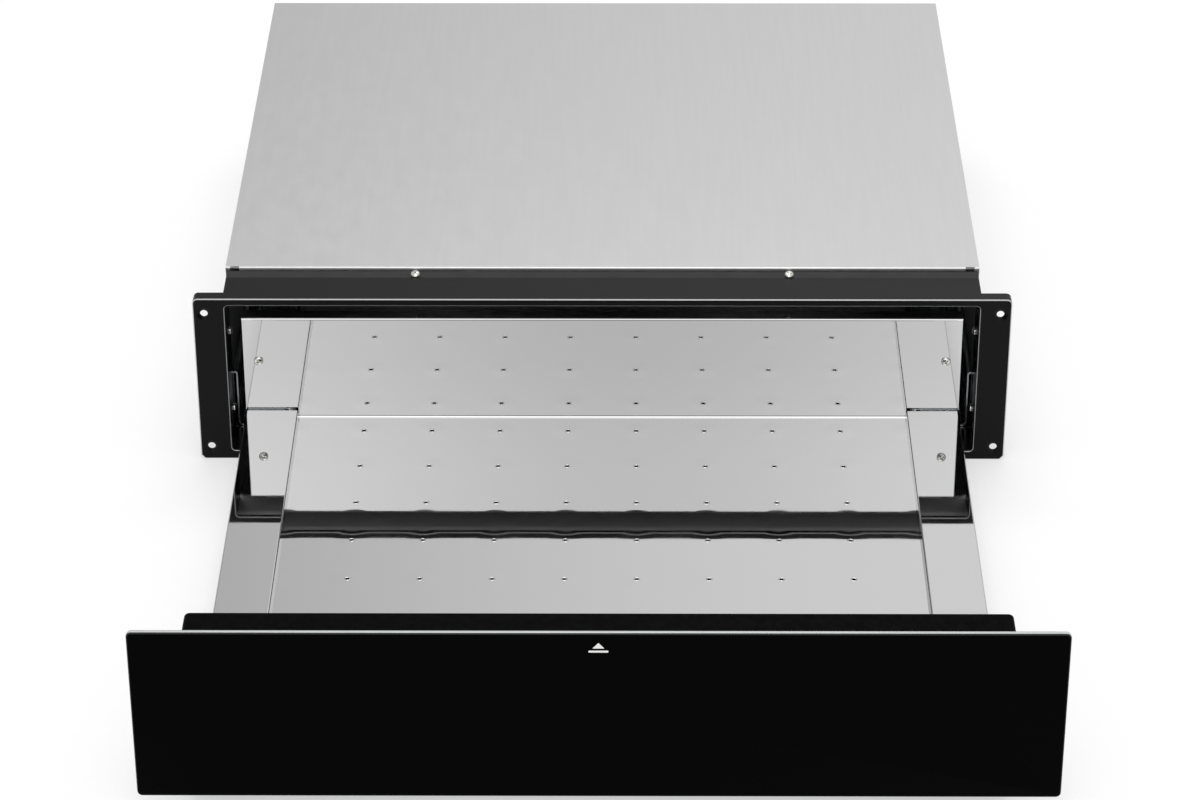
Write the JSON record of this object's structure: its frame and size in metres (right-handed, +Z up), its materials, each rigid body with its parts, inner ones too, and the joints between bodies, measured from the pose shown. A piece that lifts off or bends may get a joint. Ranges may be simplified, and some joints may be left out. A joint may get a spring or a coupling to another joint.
{
  "type": "built-in warming drawer",
  "caption": "Low built-in warming drawer: black glass push front, mirror steel tray with perforated floor on concealed runners, galvanised housing behind a black frame.",
  "frame": {"origin": "centre of the underside in the cabinet's front plane, where the frame's foot lies on the niche floor", "axes": "+X to the right seen from the front, +Y from the front to the back, +Z up; the glass front faces -Y"},
  "size_m": [0.595, 0.9489, 0.139],
  "materials": {
    "black_painted_steel": "satin black powder coat on pressed steel",
    "galvanised_steel": "fine grained galvanised sheet",
    "polished_stainless": "mirror polished stainless sheet",
    "zinc_plated_steel": "bright zinc plate on rolled steel",
    "roller_steel": "ground bearing steel",
    "screws": "nickel plated screws",
    "cage_plastic": "moulded acetal",
    "black_glass": "tempered glass, black enamel behind",
    "silicone": "cured silicone bead",
    "buffer_rubber": "moulded rubber",
    "black_plastic": "moulded heat resistant plastic",
    "ceramic": "glazed steatite",
    "lamp_lens": "translucent red lens",
    "copper_winding": "enamelled copper winding",
    "lamination_steel": "stacked steel laminations",
    "element_sheath": "heat tinted stainless sheath",
    "copper_tube": "drawn copper"
  },
  "bodies": {
    "housing": {"front_frame": "black_painted_steel", "frame_side_screws": "screws", "housing_base": "galvanised_steel", "top_cover": "galvanised_steel", "cover_screws": "screws", "rear_panel": "galvanised_steel", "cable_gland": "buffer_rubber", "cabinet_rail_left": "zinc_plated_steel", "cabinet_rail_right": "zinc_plated_steel", "cabinet_rail_screws": "screws", "latch_body": "black_plastic", "latch_screws": "screws", "terminal_block": "ceramic"},
    "drawer": {"tray": "polished_stainless", "side_strip_left": "polished_stainless", "side_strip_right": "polished_stainless", "rear_bracket_left": "zinc_plated_steel", "rear_bracket_right": "zinc_plated_steel", "wall_screws": "screws", "plenum_pan": "galvanised_steel", "heating_element": "element_sheath", "element_clips": "galvanised_steel", "fan_box": "galvanised_steel", "motor_stator": "lamination_steel", "motor_coil": "copper_winding", "motor_brackets": "zinc_plated_steel", "thermal_cutout": "black_plastic", "sub_front": "black_painted_steel", "glass_panel": "black_glass", "glass_adhesive": "silicone", "front_buffers": "buffer_rubber", "front_screws": "screws", "drawer_rail_left": "zinc_plated_steel", "drawer_rail_right": "zinc_plated_steel", "thermostat": "black_plastic", "rocker_switch": "black_plastic", "pilot_lamp": "lamp_lens", "capillary_bulb": "copper_tube", "bulb_clip": "galvanised_steel", "latch_striker": "zinc_plated_steel"},
    "middle_left": {"middle_rail_left": "zinc_plated_steel"},
    "outer_cage_left": {"outer_cage_left": "cage_plastic", "outer_rollers_left": "roller_steel"},
    "inner_cage_left": {"inner_cage_left": "cage_plastic", "inner_rollers_left": "roller_steel"},
    "middle_right": {"middle_rail_right": "zinc_plated_steel"},
    "outer_cage_right": {"outer_cage_right": "cage_plastic", "outer_rollers_right": "roller_steel"},
    "inner_cage_right": {"inner_cage_right": "cage_plastic", "inner_rollers_right": "roller_steel"},
    "fan": {"fan_impeller": "galvanised_steel", "fan_rotor": "zinc_plated_steel"},
    "knob": {"thermostat_knob": "black_plastic", "thermostat_shaft": "zinc_plated_steel"},
    "rocker": {"switch_rocker": "black_plastic"},
    "plunger": {"latch_plunger": "black_plastic"}
  },
  "joints": [
    {"name": "drawer_slide", "type": "slide", "parent": "housing", "child": "drawer", "axis": [0, -1, 0], "range_m": [-0.428, 0]},
    {"name": "middle_slide_left", "type": "slide", "parent": "housing", "child": "middle_left", "axis": [0, -1, 0], "range_m": [-0.215, 0.001]},
    {"name": "outer_cage_slide_left", "type": "slide", "parent": "housing", "child": "outer_cage_left", "axis": [0, -1, 0], "range_m": [-0.108, 0.001]},
    {"name": "inner_cage_slide_left", "type": "slide", "parent": "housing", "child": "inner_cage_left", "axis": [0, -1, 0], "range_m": [-0.322, 0.001]},
    {"name": "middle_slide_right", "type": "slide", "parent": "housing", "child": "middle_right", "axis": [0, -1, 0], "range_m": [-0.215, 0.001]},
    {"name": "outer_cage_slide_right", "type": "slide", "parent": "housing", "child": "outer_cage_right", "axis": [0, -1, 0], "range_m": [-0.108, 0.001]},
    {"name": "inner_cage_slide_right", "type": "slide", "parent": "housing", "child": "inner_cage_right", "axis": [0, -1, 0], "range_m": [-0.322, 0.001]},
    {"name": "fan_spin", "type": "hinge", "parent": "drawer", "child": "fan", "pos_m": [0, 0.01, 0.0605], "axis": [0, 1, 0], "continuous": true},
    {"name": "knob_turn", "type": "hinge", "parent": "drawer", "child": "knob", "pos_m": [0.196, -0.405, 0.086], "axis": [0, 1, 0], "range_deg": [0, 270]},
    {"name": "rocker_tilt", "type": "hinge", "parent": "drawer", "child": "rocker", "pos_m": [0.146, -0.4098, 0.086], "axis": [0, 0, 1], "range_deg": [0, 18]},
    {"name": "plunger_travel", "type": "slide", "parent": "housing", "child": "plunger", "axis": [0, 1, 0], "range_m": [0, 0.0028], "stiffness_N_per_m": 800, "springref_m": -0.004}
  ],
  "couplings": [
    {"joint": "middle_slide_left", "follows": "drawer_slide", "ratio": 0.5},
    {"joint": "outer_cage_slide_left", "follows": "drawer_slide", "ratio": 0.25},
    {"joint": "inner_cage_slide_left", "follows": "drawer_slide", "ratio": 0.75},
    {"joint": "middle_slide_right", "follows": "drawer_slide", "ratio": 0.5},
    {"joint": "outer_cage_slide_right", "follows": "drawer_slide", "ratio": 0.25},
    {"joint": "inner_cage_slide_right", "follows": "drawer_slide", "ratio": 0.75}
  ]
}
